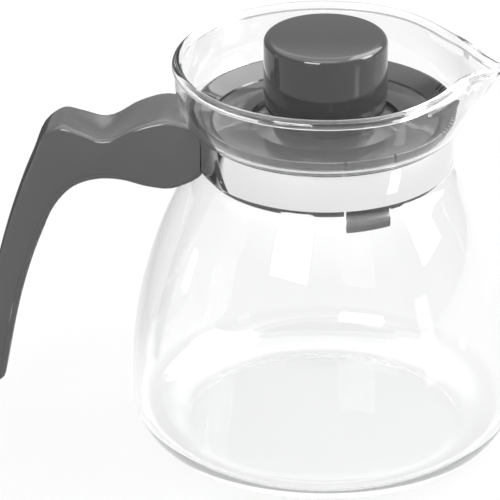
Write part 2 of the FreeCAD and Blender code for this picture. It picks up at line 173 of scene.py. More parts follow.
def blockAt(name, low, high, turn=0.0):
    # cutter block between two corners in mm, turned about the upright axis
    bpy.ops.object.select_all(action="DESELECT")
    middle = [(a + b) / 2 * mm for a, b in zip(low, high)]
    scale = [(b - a) * mm for a, b in zip(low, high)]
    bpy.ops.mesh.primitive_cube_add(size=1, location=middle, scale=scale)
    piece = bpy.context.object
    piece.name = name
    bpy.ops.object.transform_apply(location=True, rotation=True, scale=True)
    if turn:
        bpy.ops.object.mode_set(mode="EDIT")
        bpy.ops.mesh.select_all(action="SELECT")
        bpy.ops.transform.rotate(value=-turn, orient_axis="Z", center_override=(0, 0, 0))
        bpy.ops.object.mode_set(mode="OBJECT")
    return piece


def rodAt(name, radius, length, place, way, sides=48):
    # a round cutter, its middle in metres and its radius and length in mm
    bpy.ops.object.select_all(action="DESELECT")
    bpy.ops.mesh.primitive_cylinder_add(
        vertices=sides, radius=radius * mm, depth=length * mm, location=place, rotation=way)
    piece = bpy.context.object
    piece.name = name
    bpy.ops.object.transform_apply(location=True, rotation=True, scale=True)
    return piece


def rodAcross(name, radius, low, high, x, z):
    place = (x * mm, (low + high) / 2 * mm, z * mm)
    return rodAt(name, radius, high - low, place, (math.pi / 2, 0, 0))


def joinAll(name, pieces):
    bpy.ops.object.select_all(action="DESELECT")
    for piece in pieces:
        piece.select_set(True)
    bpy.context.view_layer.objects.active = pieces[0]
    bpy.ops.object.join()
    pieces[0].name = name
    return pieces[0]


def spinSector(name, points, middle, half, steps):
    # a closed section swept through part of a turn, with both ends shut
    piece = startPiece(name, points[0])
    drawOutline(points + points[:1])
    bpy.ops.mesh.select_all(action="SELECT")
    bpy.ops.mesh.remove_doubles(threshold=mergeReach)
    bpy.ops.mesh.edge_face_add()
    bpy.ops.mesh.spin(steps=steps, angle=2 * half, center=(0, 0, 0), axis=(0, 0, 1))
    tidyMesh()
    leftAt = min(math.atan2(v.co.y, v.co.x) for v in piece.data.vertices)
    for v in piece.data.vertices:
        angle = math.atan2(v.co.y, v.co.x) - leftAt - half + middle
        reach = math.hypot(v.co.x, v.co.y)
        v.co.x, v.co.y = reach * math.cos(angle), reach * math.sin(angle)
    return piece


# camera: place in metres, turn in degrees, lens and sensor in mm
cameraSet = {
    "place": (0.0380, -1.4525, 0.7902), "turn": (63.7665, 0.1467, 2.5436), "lens": 306.66, "sensor": 36,
    "near": 0.05, "far": 50,
}
cameraData = bpy.data.cameras.new("camera")
camera = bpy.data.objects.new("camera", cameraData)
bpy.context.scene.collection.objects.link(camera)
camera.location = cameraSet["place"]
camera.rotation_euler = [math.radians(a) for a in cameraSet["turn"]]
cameraData.lens = cameraSet["lens"]
cameraData.sensor_width = cameraSet["sensor"]
cameraData.clip_start = cameraSet["near"]
cameraData.clip_end = cameraSet["far"]
bpy.context.scene.camera = camera
print("camera set")


class Shade:
    # a socket of one material's tree, with Python's operators as Math nodes
    def __init__(self, tree, socket=None):
        self.tree = tree
        self.socket = socket

    def node(self, kind, settings=None, sockets=None, out=0):
        made = self.tree.nodes.new(kind)
        for key, value in (settings or {}).items():
            if key == "stops":
                ramp = made.color_ramp
                while len(ramp.elements) < len(value):
                    ramp.elements.new(1)
                for element, (place, level) in zip(ramp.elements, value):
                    element.position = place
                    element.color = (level, level, level, 1)
            else:
                setattr(made, key, value)
        for key, value in (sockets or {}).items():
            if isinstance(value, Shade):
                self.tree.links.new(value.socket, made.inputs[key])
            else:
                made.inputs[key].default_value = value
        return Shade(self.tree, made.outputs[out])

    def maths(self, operation, *values):
        return self.node("ShaderNodeMath", {"operation": operation}, dict(enumerate(values)))

    def clamped(self):
        low = self.maths("MINIMUM", self, 1.0)
        return low.maths("MAXIMUM", low, 0.0)

    def parts(self):
        split = self.node("ShaderNodeSeparateXYZ", {}, {0: self})
        return [Shade(self.tree, socket) for socket in split.socket.node.outputs]

    def __add__(self, other):
        return self.maths("ADD", self, other)

    def __sub__(self, other):
        return self.maths("SUBTRACT", self, other)

    def __rsub__(self, other):
        return self.maths("SUBTRACT", other, self)

    def __mul__(self, other):
        return self.maths("MULTIPLY", self, other)

    __radd__ = __add__

    def objectPlace(self, scale=(1, 1, 1)):
        place = self.node("ShaderNodeTexCoord", out=3)
        return self.node("ShaderNodeMapping", {}, {"Vector": place, "Scale": scale})

    def noise(self, size, detail=2.0, stretch=(1, 1, 1)):
        # size is the width of one blotch, in mm
        return self.node("ShaderNodeTexNoise", {}, {
            "Vector": self.objectPlace(stretch), "Scale": 1000 / size, "Detail": detail})

    def ramp(self, stops):
        return self.node("ShaderNodeValToRGB", {"stops": stops}, {0: self})

    def mixColours(self, factor, a, b):
        return self.node("ShaderNodeMix", {"data_type": "RGBA"}, {0: factor, 6: a, 7: b}, out=2)

    def bump(self, height, strength, distance):
        return self.node("ShaderNodeBump", {}, {
            "Height": height, "Strength": strength, "Distance": distance * mm})


def newMaterial(name, build):
    material = bpy.data.materials.new(name)
    material.use_nodes = True
    tree = material.node_tree
    tree.nodes.clear()
    shade = Shade(tree)
    surface = build(shade)
    out = tree.nodes.new("ShaderNodeOutputMaterial")
    tree.links.new(surface.socket, out.inputs["Surface"])
    return material


def grey(level, tint=(1, 1, 1)):
    return tuple(level * t for t in tint) + (1,)


glassFinish = {
    "ior": 1.47, "wave": 14.0, "waveHeight": 0.006, "waveStrength": 0.25, "colour": (0.966, 0.967, 0.967, 1),
    "smear": 26.0, "smearRough": 0.012, "through": (0.97, 0.975, 0.975, 1), "caughtDepth": 4.5,
}


def clearGlass(shade):
    finish = glassFinish
    wave = shade.noise(finish["wave"], 1.0, (1, 1, 0.45))
    smear = shade.noise(finish["smear"], 3.0).ramp([(0.45, 0.0), (0.8, 1.0)])
    glass = shade.node("ShaderNodeBsdfPrincipled", {}, {
        "Base Color": finish["colour"],
        "Roughness": smear * finish["smearRough"],
        "IOR": finish["ior"],
        "Transmission Weight": 1.0,
        "Normal": shade.bump(wave, finish["waveStrength"], finish["waveHeight"]),
    })
    clear = shade.node("ShaderNodeBsdfTransparent", {}, {"Color": finish["through"]})
    # lamps shine through, and light caught inside the wall leaves it after a few bounces
    lampRay = shade.node("ShaderNodeLightPath", out="Is Shadow Ray")
    depth = shade.node("ShaderNodeLightPath", out="Ray Depth")
    leaves = lampRay.maths("MAXIMUM", lampRay, depth.maths("GREATER_THAN", depth, finish["caughtDepth"]))
    return shade.node("ShaderNodeMixShader", {}, {0: leaves, 1: glass, 2: clear})


def plasticShader(shade, look):
    # moulded plastic: fine spark-eroded grain, cloudy colour and a few polished patches
    grain = shade.noise(look["grain"], 3.0)
    cloud = shade.noise(look["cloud"], 2.0)
    flow = shade.noise(look["cloud"] * 0.6, 4.0, (1, 1, 0.25))
    colour = shade.mixColours(cloud, grey(look["dark"], look["tint"]), grey(look["light"], look["tint"]))
    rough = look["rough"] + (flow - 0.5) * look["roughSpread"] + (grain - 0.5) * look["roughSpread"] * 0.5
    return shade.node("ShaderNodeBsdfPrincipled", {}, {
        "Base Color": colour, "Roughness": rough, "IOR": 1.5,
        "Specular IOR Level": look["specular"],
        "Normal": shade.bump(grain, look["grainStrength"], look["grainHeight"]),
    })


handleLook = {
    "dark": 0.044, "light": 0.050, "tint": (1.0, 1.0, 1.0), "cloud": 30.0, "grain": 0.5,
    "rough": 0.12, "roughSpread": 0.04, "grainStrength": 0.06, "grainHeight": 0.01, "specular": 0.5,
}
lidLook = {
    "dark": 0.025, "light": 0.029, "tint": (1.0, 1.0, 1.0), "cloud": 24.0, "grain": 0.7,
    "rough": 0.075, "roughSpread": 0.03, "grainStrength": 0.04, "grainHeight": 0.006, "specular": 0.55,
}
# the tongues take the lid plastic, rougher and painted darker: the darker colour is painted shade for their
# place under the flange inside the neck
tongueShadedLook = dict(lidLook, dark=0.009, light=0.012, rough=0.16)
handlePlastic = newMaterial("handlePlastic", lambda shade: plasticShader(shade, handleLook))
lidPlastic = newMaterial("lidPlastic", lambda shade: plasticShader(shade, lidLook))
tongueShadedPlastic = newMaterial("tongueShadedPlastic", lambda shade: plasticShader(shade, tongueShadedLook))
jugGlass = newMaterial("jugGlass", clearGlass)

metalLooks = {
    "bandSteel": {"low": 0.74, "high": 0.79, "tint": (1.0, 1.0, 1.0), "rough": 0.035, "spread": 0.03,
                  "stretch": (1, 1, 14), "grain": 3.0, "height": 0.0015},
    "screwSteel": {"low": 0.42, "high": 0.6, "tint": (1.0, 0.99, 0.97), "rough": 0.3, "spread": 0.15,
                   "stretch": (1, 1, 1), "grain": 0.6, "height": 0.01},
    "insertBrass": {"low": 0.5, "high": 0.72, "tint": (1.0, 0.74, 0.36), "rough": 0.32, "spread": 0.15,
                    "stretch": (1, 4, 1), "grain": 0.5, "height": 0.01},
}
hazeWide = 18.0


def metalShader(shade, look):
    # fine marks left by polishing, and a haze of finger marks
    marks = shade.noise(look["grain"], 4.0, look["stretch"])
    haze = shade.noise(hazeWide, 3.0)
    colour = shade.mixColours(haze, grey(look["low"], look["tint"]), grey(look["high"], look["tint"]))
    return shade.node("ShaderNodeBsdfPrincipled", {}, {
        "Base Color": colour, "Metallic": 1.0,
        "Roughness": look["rough"] + haze * look["spread"] + (marks - 0.5) * look["spread"],
        "Normal": shade.bump(marks, 0.15, look["height"]),
    })


metals = {name: newMaterial(name, lambda shade, look=look: metalShader(shade, look))
          for name, look in metalLooks.items()}

linerLook = {
    "haze": 6.0, "colour": (0.9, 0.91, 0.92, 1), "rough": 0.16, "spread": 0.12, "ior": 1.45, "clear": 0.85,
    "height": 0.02, "through": 0.85,
}


def linerFilm(shade):
    # soft clear strip, with lamps shining through it
    haze = shade.noise(linerLook["haze"], 3.0)
    film = shade.node("ShaderNodeBsdfPrincipled", {}, {
        "Base Color": linerLook["colour"], "Roughness": linerLook["rough"] + haze * linerLook["spread"],
        "IOR": linerLook["ior"], "Transmission Weight": linerLook["clear"],
        "Normal": shade.bump(haze, 0.1, linerLook["height"])})
    clear = shade.node("ShaderNodeBsdfTransparent", {}, {"Color": grey(linerLook["through"])})
    lampRay = shade.node("ShaderNodeLightPath", out="Is Shadow Ray")
    return shade.node("ShaderNodeMixShader", {}, {0: lampRay, 1: film, 2: clear})


linerPlastic = newMaterial("linerPlastic", linerFilm)


def paint(piece, material):
    piece.data.materials.clear()
    piece.data.materials.append(material)


print("materials made")

# glass jug: lengths in mm, outlines as (radius, height)
jugSize = {
    "sides": 224, "bellyR": 73.45, "cornerWide": 18.0, "cornerHigh": 17.5, "wall": 1.8, "floor": 2.8,
    "punt": 0.25, "puntR": 53.4, "flatR": 30,
    # edge of the base's hollow: distance from its radius, and share of its height
    "puntEdge": [(-6, 1.0), (-3.5, 0.98), (-2.2, 0.85), (-1.2, 0.5), (-0.5, 0.15), (0, 0.0)],
    "belly": [(73.45, 24), (72.1, 46), (66.9, 70), (58.1, 94), (50.3, 108), (47.0, 113)],
    "bowl": [(47.0, 127.7), (50.4, 129.2), (54.0, 134.4), (56.2, 145)],
    "neckR": 47.0, "neckOut": (116, 120, 124), "neckIn": (113, 117, 121, 125, 127.9),
    "neckEase": (0.5, 129.05),
    "rimZ": 151.5, "beadR": 1.94, "beadAt": 55.3, "beadSteps": 18, "gather": 0.55, "smoothAt": 50,
}
lipSize = {
    # direction in degrees from the lip's middle: radius of the rim there
    "plan": [(0, 65.0), (1.8, 64.2), (3.7, 62.1), (6.8, 59.2), (10.1, 57.2), (15, 55.2), (21, 53.7),
             (28, 53.1), (36, 53.1), (46, 53.7), (58, 54.8), (70, 55.3)],
    "startZ": 132.5, "ease": 1.15, "dip": 1.6, "dipWide": 6.5, "rise": 1.3, "riseAt": 19.0, "riseWide": 9.0,
}


def smoothTable(rows, x):
    # cubic easing between the rows of a short table
    if x >= rows[-1][0]:
        return rows[-1][1]
    for i, ((x0, y0), (x1, y1)) in enumerate(zip(rows, rows[1:])):
        if x <= x1:
            before = rows[i - 1] if i else (2 * x0 - x1, y1 if x0 == 0 else 2 * y0 - y1)
            after = rows[i + 2] if i + 2 < len(rows) else (x1 + 10, y1)
            slope0 = (y1 - before[1]) / (x1 - before[0])
            slope1 = (after[1] - y0) / (after[0] - x0)
            t = (x - x0) / (x1 - x0)
            span = x1 - x0
            return (y0 * (2 * t ** 3 - 3 * t ** 2 + 1) + slope0 * span * (t ** 3 - 2 * t ** 2 + t)
                    + y1 * (3 * t ** 2 - 2 * t ** 3) + slope1 * span * (t ** 3 - t ** 2))
    return rows[-1][1]


def quarterBend(a, b, parts=9):
    # from a, level, round to b, upright
    points = []
    for step in range(1, parts + 1):
        turn = math.pi / 2 * step / parts
        points.append(Vector((a.x + (b.x - a.x) * math.sin(turn), 0, b.z + (a.z - b.z) * math.cos(turn))))
    return points


def thickened(points, distance):
    # the line moved sideways, to its left where the distance is positive
    out = []
    for i, here in enumerate(points):
        along = (points[min(i + 1, len(points) - 1)] - points[max(i - 1, 0)]).normalized()
        out.append(here + Vector((-along.z, 0, along.x)) * distance * mm)
    return out


def jugSection():
    size = jugSize
    up = (0, 0, 1)
    belly = flowThrough([inSection(*p) for p in size["belly"]], 5, up, up)
    bowl = flowThrough([inSection(*p) for p in size["bowl"]], 5, (1, 0, 0.1), up)
    outerCorner = inSection(size["bellyR"] - size["cornerWide"], 0)
    outer = [inSection(r, size["punt"]) for r in (0, size["flatR"])]
    outer += [inSection(size["puntR"] + dr, size["punt"] * share) for dr, share in size["puntEdge"]]
    outer.append(outerCorner)
    outer += quarterBend(outerCorner, inSection(size["bellyR"], size["cornerHigh"])) + belly
    outer += [inSection(size["neckR"], z) for z in size["neckOut"]] + bowl
    innerCorner = inSection(size["bellyR"] - size["cornerWide"] - 1, size["floor"])
    inner = [inSection(r, size["floor"]) for r in (0, size["flatR"])] + [innerCorner]
    inner += quarterBend(innerCorner, inSection(size["bellyR"] - size["wall"], size["cornerHigh"]))
    inner += thickened(belly, size["wall"])[:-1]
    neckIn = size["neckR"] - size["wall"]
    inner += [inSection(neckIn, z) for z in size["neckIn"]]
    easeR, easeZ = size["neckEase"]
    inner += [inSection(neckIn + easeR, easeZ)] + thickened(bowl, size["wall"])
    start = math.acos(size["wall"] / 2 / size["beadR"])
    bead = []
    for step in range(size["beadSteps"] + 1):
        turn = -start + (math.pi + 2 * start) * step / size["beadSteps"]
        bead.append(inSection(size["beadAt"] + size["beadR"] * math.cos(turn),
                              size["rimZ"] + size["beadR"] * math.sin(turn)))
    return outer + bead + inner[::-1]


def drawLip(piece):
    # vertices gather towards the lip, then the rim and the bowl are pulled out into it
    size, lip = jugSize, lipSize
    for v in piece.data.vertices:
        reach = math.hypot(v.co.x, v.co.y) / mm
        if reach < 0.01:
            continue
        angle = math.atan2(v.co.y, v.co.x)
        angle -= size["gather"] * math.sin(angle)
        z = v.co.z / mm
        if z > lip["startZ"]:
            share = min(1.0, (z - lip["startZ"]) / (size["rimZ"] - lip["startZ"]))
            share = share ** lip["ease"]
            degrees = abs(math.degrees(angle))
            wanted = smoothTable(lip["plan"], degrees)
            reach += (wanted - size["beadAt"]) * share
            near = math.exp(-(degrees / lip["dipWide"]) ** 2)
            side = math.exp(-((degrees - lip["riseAt"]) / lip["riseWide"]) ** 2)
            z += (lip["rise"] * side - lip["dip"] * near) * share ** 3
        v.co = (reach * mm * math.cos(angle), reach * mm * math.sin(angle), z * mm)


glassJug = turnPiece("glassJug", jugSection(), jugSize["sides"], closed=False)
drawLip(glassJug)
smooth(glassJug, jugSize["smoothAt"])
paint(glassJug, jugGlass)
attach(glassJug, "jug")
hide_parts("glass_jug")
print("glass jug made:", len(glassJug.data.polygons), "faces")

# steel band: once round the neck, both ends turned out into the handle
bandSize = {
    "low": 113.2, "high": 127.6, "inner": 47.7, "thick": 0.5, "bend": 1.5, "pitch": 0.4, "end": -62.5,
    "arcSteps": 150, "bendSteps": 5, "soft": 0.16, "smoothAt": 30,
    "screwX": -57.0, "screwZ": 120.4, "hole": 2.2, "holeHalf": 5,
}


def bandPath():
    # the middle of the strap seen from above: flange, bend, once round the neck, bend, flange
    size = bandSize
    middle = size["inner"] + size["thick"] / 2
    rise = size["pitch"] + size["bend"]
    centreX = -math.sqrt((middle + size["bend"]) ** 2 - rise ** 2)
    meetAngle = math.atan2(rise, centreX)
    level = size["low"] * mm
    path = [Vector((x * mm, size["pitch"] * mm, level)) for x in (size["end"], centreX)]
    sweep = math.atan2(-rise, -centreX) + math.pi / 2
    for step in range(1, size["bendSteps"] + 1):
        turn = -math.pi / 2 + sweep * step / size["bendSteps"]
        path.append(Vector(((centreX + size["bend"] * math.cos(turn)) * mm,
                            (rise + size["bend"] * math.sin(turn)) * mm, level)))
    halfSteps = size["arcSteps"] // 2
    for step in range(1, halfSteps + 1):
        turn = meetAngle * (1 - step / halfSteps)
        path.append(Vector((middle * mm * math.cos(turn), middle * mm * math.sin(turn), level)))
    return path + [Vector((p.x, -p.y, p.z)) for p in path[-2::-1]]


bandPoints = bandPath()
steelBand = startPiece("steelBand", bandPoints[0])
drawOutline(bandPoints)
bpy.ops.mesh.select_all(action="SELECT")
bpy.ops.mesh.extrude_region_move(
    TRANSFORM_OT_translate={"value": (0, 0, (bandSize["high"] - bandSize["low"]) * mm)})
tidyMesh()
applyModifier(steelBand, "SOLIDIFY", {"thickness": bandSize["thick"] * mm, "offset": 0})
clampX, clampZ = bandSize["screwX"], bandSize["screwZ"]
cutWith(steelBand, rodAcross("holeCutter", bandSize["hole"], -bandSize["holeHalf"], bandSize["holeHalf"],
                             clampX, clampZ))
softenEdges(steelBand, bandSize["soft"])
smooth(steelBand, bandSize["smoothAt"])
paint(steelBand, metals["bandSteel"])
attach(steelBand, "jug")
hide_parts("band_strap")
print("band made")

# handle: side outlines as (x, height) in mm, drawn from the strap outwards along the top
handleSize = {
    "top": [(-42, 126.0), (-50, 130.7), (-59.5, 132.9), (-70, 130.2), (-83, 124.4), (-92, 127),
            (-98.3, 128.4), (-103.8, 125.3), (-110.5, 111.5), (-117.2, 94), (-123.8, 72), (-129.5, 47),
            (-133.3, 24.3)],
    "low": [(-122.3, 22.5), (-118.9, 40.5), (-113.7, 62.9), (-107, 83), (-101.1, 96.1), (-94.4, 103.6),
            (-84.4, 107.6), (-76, 107.8), (-66, 105.6), (-58, 104.9), (-50.6, 107.4), (-42, 113.0)],
    # half width against x: parallel at the head, narrowing along the grip
    "half": [(-140, 4.9), (-118, 7.77), (-94, 10.9), (-78, 12.95), (-69, 13.9), (-60, 14.05), (-50, 14.0),
             (-36, 13.8)],
    # the straight blank is sliced at these shares of its half width, and closely at both cheeks for the edges
    "blankHalf": 17.0, "endSteps": 8, "loops": [0, 0.2, 0.4, 0.6],
    "edge": 2.0, "edgeSteps": 5, "edgePitch": 0.03,
    # the cover follows the lower outline up to its point coverEnd; its region reaches past the outline
    "coverThick": 2.4, "coverEnd": 8, "coverPast": 3, "coverHalf": 30, "seam": 0.18, "groove": 0.06,
    # hollow (down) or crown (up) of the top across the width, against x
    "dish": [(-140, 0.0), (-128, 0.1), (-118, 0.3), (-106, 0.3), (-98, 0.0), (-91, -0.9), (-84, -1.5),
             (-76, -1.1), (-68, -0.1), (-60, 0.25), (-42, 0.2)],
    # where the two cover screws enter and the way they point, with the recess for their heads
    "screws": [((-80, 108.0), (0.05, 0, 1)), ((-113.2, 64.2), (-0.94, 0, 0.27))],
    "screwRecess": 2.9, "screwSink": 1.8, "screwSides": 40,
    # room for the jug's glass and for the band
    "gap": 0.3, "bandGap": 48.35, "bandLow": 112.7, "bandHigh": 128.1, "bellyTo": 112.6, "bowlFrom": 128.3,
    "frontSides": 128,
    # slot for the band's two ends, and the cross bore of the clamp: recess, shank and insert
    "slotHalf": 1.6, "slotPast": 1.5, "slotTo": -44, "recess": 4.8, "recessDeep": 5.4, "recessTo": 22,
    "shank": 2.2, "shankTo": 21, "insert": 3.2, "insertFrom": -9.6, "smoothAt": 35,
}


def handleHalfAt(x):
    return smoothTable(handleSize["half"], x)


def handleOutline(part, count=None):
    return flowThrough([inSection(*p) for p in handleSize[part][:count]], 5)


def handleBlank(name):
    size = handleSize
    top, low = handleOutline("top"), handleOutline("low")
    middle = (top[-1] + low[0]) / 2
    spoke = top[-1] - middle
    side = Vector((-spoke.z, 0, spoke.x))
    end = []
    for step in range(1, size["endSteps"]):
        turn = math.pi * step / size["endSteps"]
        end.append(middle + spoke * math.cos(turn) + side * math.sin(turn))
    blank = carryAcross(name, top + end + low, -size["blankHalf"], size["blankHalf"])
    rounds = [1 - size["edgePitch"] * step for step in range(1, size["edgeSteps"] + 1)]
    bpy.ops.object.mode_set(mode="EDIT")
    for share in size["loops"] + rounds:
        for cheek in (1, -1):
            bpy.ops.mesh.select_all(action="SELECT")
            bpy.ops.mesh.bisect(plane_co=(0, cheek * share * size["blankHalf"] * mm, 0), plane_no=(0, 1, 0))
    bpy.ops.mesh.select_all(action="SELECT")
    bpy.ops.mesh.remove_doubles(threshold=10 * mergeReach)
    bpy.ops.object.mode_set(mode="OBJECT")
    lowEdge = {(round(p.x, 6), round(p.z, 6)) for p in low}
    ways = [v.normal.copy() for v in blank.data.vertices]
    for v, way in zip(blank.data.vertices, ways):
        across = v.co.y / (size["blankHalf"] * mm)
        half = handleHalfAt(v.co.x / mm)
        onLow = (round(v.co.x, 6), round(v.co.z, 6)) in lowEdge
        way.y = 0
        way.normalize()
        step = round((1 - abs(across)) / size["edgePitch"])
        if step <= size["edgeSteps"]:
            turn = math.pi / 2 * step / size["edgeSteps"]
            v.co.y = math.copysign(half - size["edge"] * (1 - math.cos(turn)), across) * mm
            v.co -= way * size["edge"] * (1 - math.sin(turn)) * mm
        else:
            v.co.y = across * half * mm
        if not onLow:
            lift = smoothTable(size["dish"], v.co.x / mm)
            v.co += way * lift * max(0, 1 - (v.co.y / (half * mm)) ** 2) * mm
    return blank


def coverSlab(name, extra=0.0):
    size = handleSize
    low = handleOutline("low", size["coverEnd"])
    outer = thickened(low, -size["coverPast"])
    inner = thickened(low, size["coverThick"] + extra)
    return carryAcross(name, outer + inner[::-1], -size["coverHalf"], size["coverHalf"])


def frontCutter():
    # what the handle's front is hollowed to: the jug's outside with a gap, and the band's room
    size, gap = handleSize, handleSize["gap"]
    up = (0, 0, 1)
    belly = thickened(flowThrough([inSection(*p) for p in jugSize["belly"]][2:], 5, None, up), -gap)
    bowl = thickened(flowThrough([inSection(*p) for p in jugSize["bowl"]], 6, (1, 0, 0.1), up), -gap)
    belly = [p for p in belly if p.z < size["bellyTo"] * mm]
    bowl = [p for p in bowl if p.z > size["bowlFrom"] * mm and p.x > size["bandGap"] * mm]
    points = [inSection(0, belly[0].z / mm)] + belly
    points += [inSection(size["bandGap"], z) for z in (size["bandLow"], size["bandHigh"])] + bowl
    points += [inSection(0, bowl[-1].z / mm)]
    return turnPiece("frontCutter", points, size["frontSides"], closed=False)


handleShell = handleBlank("handleShell")
handleCover = handleShell.copy()
handleCover.data = handleShell.data.copy()
handleCover.name = "handleCover"
bpy.context.scene.collection.objects.link(handleCover)
cutWith(handleCover, coverSlab("coverRegion"), "INTERSECT")
sink = handleSize["screwSink"]
for (x, z), way in handleSize["screws"]:
    # the cutter reaches one depth into the cover and two depths out of it
    way = Vector(way).normalized()
    place = inSection(x, z) - way * sink / 2 * mm
    turn = way.to_track_quat("Z", "Y").to_euler()
    cutWith(handleCover, rodAt("screwCutter", handleSize["screwRecess"], 3 * sink, place, turn,
                               handleSize["screwSides"]))
cutWith(handleShell, coverSlab("coverRegion", handleSize["groove"]))
cutWith(handleShell, frontCutter())
cutWith(handleShell, blockAt(
    "slotCutter", (bandSize["end"] - handleSize["slotPast"], -handleSize["slotHalf"], handleSize["bandLow"]),
    (handleSize["slotTo"], handleSize["slotHalf"], handleSize["bandHigh"])))
recessFrom = handleHalfAt(clampX) - handleSize["recessDeep"]
for part, low, high in (("recess", recessFrom, handleSize["recessTo"]), ("shank", 0, handleSize["shankTo"]),
                        ("insert", handleSize["insertFrom"], 0)):
    cutWith(handleShell, rodAcross(part + "Cutter", handleSize[part], low, high, clampX, clampZ))
for piece, node in ((handleShell, "handle_shell"), (handleCover, "handle_inner_cover")):
    softenEdges(piece, handleSize["seam"])
    smooth(piece, handleSize["smoothAt"])
    paint(piece, handlePlastic)
    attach(piece, "jug")
    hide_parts(node)
print("handle made:", len(handleShell.data.polygons), "and", len(handleCover.data.polygons), "faces")

# lid: ring with skirt and flange, two snap tongues, and the knob on its disc
lidSize = {
    "sides": 192, "skirtR": 43.9, "skirtWall": 1.7, "skirtLow": 109.0, "seatR": 40.6, "seatZ": 127.0,
    "seatThick": 1.6, "flangeR": 49.3, "flangeTop": 134.2, "seamR": 43.6, "seamZ": 129.2, "seatWallR": 42.5,
    # underside of the flange: radius, height and roundness
    "under": [(45.0, 128.4, 0.5), (46.0, 130.0, 0.8), (48.3, 130.5, 0.5), (49.3, 131.5, 0.6)],
    "combCount": 19, "combPitch": 3.0, "combWide": 1.2, "combRoot": 46.4, "combHigh": 124.6, "combTop": 137.2,
    "combDeep": 4, "combReach": 8,
    # tongues and slits lie at these angles from the lip, with half widths in degrees
    "tongueMiddle": 67.0, "tongueHalf": 11.0, "slitMiddle": 68.7, "slitHalf": 11.3, "slit": 1.0,
    "slitRoot": 45.4, "slitEnd": 50.5, "slitTop": 135.2, "smoothRing": 30,
    "windowR": (41.7, 44.4), "windowGap": 0.3, "windowSteps": 16,
    "tongueLow": 102.4, "tongueTop": 126.3, "hookR": 44.9, "hookTop": 107.4, "tongueSoft": 0.3,
    "tongueSteps": 14, "smoothTongue": 35,
}


def ringSection():
    size = lidSize
    inner = size["skirtR"] - size["skirtWall"]
    return roundCorners([
        (inner, size["skirtLow"], 0.3), (size["skirtR"], size["skirtLow"], 0.3),
        (size["skirtR"], size["seatZ"] + 0.2, 0.4), *size["under"], (size["flangeR"], size["flangeTop"], 1.0),
        (size["flangeR"] - 1.2, size["flangeTop"] - 0.05, 0.5),
        (size["seamR"] + 0.3, size["seamZ"] + 0.25, 0.3), (size["seamR"], size["seamZ"] - 0.1, 0.1),
        (size["seatWallR"], size["seatZ"], 0), (size["seatR"], size["seatZ"], 0.2),
        (size["seatR"], size["seatZ"] - size["seatThick"], 0.2),
        (inner, size["seatZ"] - size["seatThick"], 0.3),
    ], 3)


lidRing = turnPiece("lidRing", ringSection(), lidSize["sides"])
combBlocks = []
half = lidSize["combWide"] / 2
lowFrom = lidSize["skirtR"] - lidSize["skirtWall"] - 1
for i in range(lidSize["combCount"]):
    turn = math.radians((i - (lidSize["combCount"] - 1) / 2) * lidSize["combPitch"])
    combBlocks.append(blockAt("comb", (lowFrom, -half, lidSize["skirtLow"] - 1),
                              (lowFrom + lidSize["combDeep"], half, lidSize["combHigh"]), turn))
    combBlocks.append(blockAt("comb", (lidSize["combRoot"], -half, lidSize["seamZ"]),
                              (lidSize["combRoot"] + lidSize["combReach"], half, lidSize["combTop"]), turn))
cutWith(lidRing, joinAll("combCutter", combBlocks))
half = lidSize["slit"] / 2
slitBlocks = [blockAt("slit", (lidSize["slitRoot"], -half, lidSize["seamZ"]),
                      (lidSize["slitEnd"], half, lidSize["slitTop"]),
                      math.radians(edge * lidSize["slitHalf"] - lidSize["slitMiddle"])) for edge in (1, -1)]
cutWith(lidRing, joinAll("slitCutter", slitBlocks))
windowHalf = math.radians(lidSize["tongueHalf"]) + lidSize["slit"] / lidSize["skirtR"]
windowIn, windowOut = lidSize["windowR"]
windowLow, windowHigh = lidSize["skirtLow"] - 1, lidSize["tongueTop"] + lidSize["windowGap"]
corners = [inSection(r, z) for r, z in (
    (windowIn, windowLow), (windowOut, windowLow), (windowOut, windowHigh), (windowIn, windowHigh))]
for side in (1, -1):
    cutWith(lidRing, spinSector("windowCutter", corners, side * math.radians(lidSize["tongueMiddle"]),
                                windowHalf, lidSize["windowSteps"]))
smooth(lidRing, lidSize["smoothRing"])
paint(lidRing, lidPlastic)
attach(lidRing, "lid_ring")
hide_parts("lid_ring")
print("lid ring made:", len(lidRing.data.polygons), "faces")

inner = lidSize["skirtR"] - lidSize["skirtWall"]
for side, label in ((-1, "Near"), (1, "Far")):
    section = roundCorners([
        (inner, lidSize["tongueLow"], 0.3), (lidSize["hookR"] - 0.6, lidSize["tongueLow"], 0.5),
        (lidSize["hookR"], lidSize["tongueLow"] + 0.9, 0.5),
        (lidSize["hookR"], lidSize["hookTop"] - 0.6, 0.5),
        (lidSize["skirtR"], lidSize["hookTop"] + 0.4, 0.3), (lidSize["skirtR"], lidSize["tongueTop"], 0.2),
        (inner, lidSize["tongueTop"], 0.2)], 3)
    tongue = spinSector("tongue" + label, section, side * math.radians(lidSize["tongueMiddle"]),
                        math.radians(lidSize["tongueHalf"]), lidSize["tongueSteps"])
    softenEdges(tongue, lidSize["tongueSoft"])
    smooth(tongue, lidSize["smoothTongue"])
    # lid plastic painted darker, as painted shade
    paint(tongue, tongueShadedPlastic)
    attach(tongue, label.lower() + "_tongue")
    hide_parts("latch_tongue_" + label.lower())
print("tongues made")

knobSize = {
    "sides": 160, "rim": 42.9, "face": 129.0, "low": 127.25, "narrow": 42.1,
    "spigotR": 40.2, "spigotLow": 125.2, "spigotWall": 2.2, "footR": 20.4, "r": 23.15, "top": 163.4,
    "edge": 2.6, "dome": 0.55, "smoothAt": 40,
    # the waist above the disc, the straight part, the crown's rings and the hollow
    "waist": (22.2, 134.2), "waistTop": 142, "straightTop": 150, "crownR": (10.5, 7, 3.5, 0), "crownWide": 21,
    "shoulder": (14, 0.42), "hollow": [(0, 161.2), (19.8, 161.2), (20.9, 160), (20.9, 141), (18.2, 132)],
    "hollowLow": (18.2, 127.1),
}


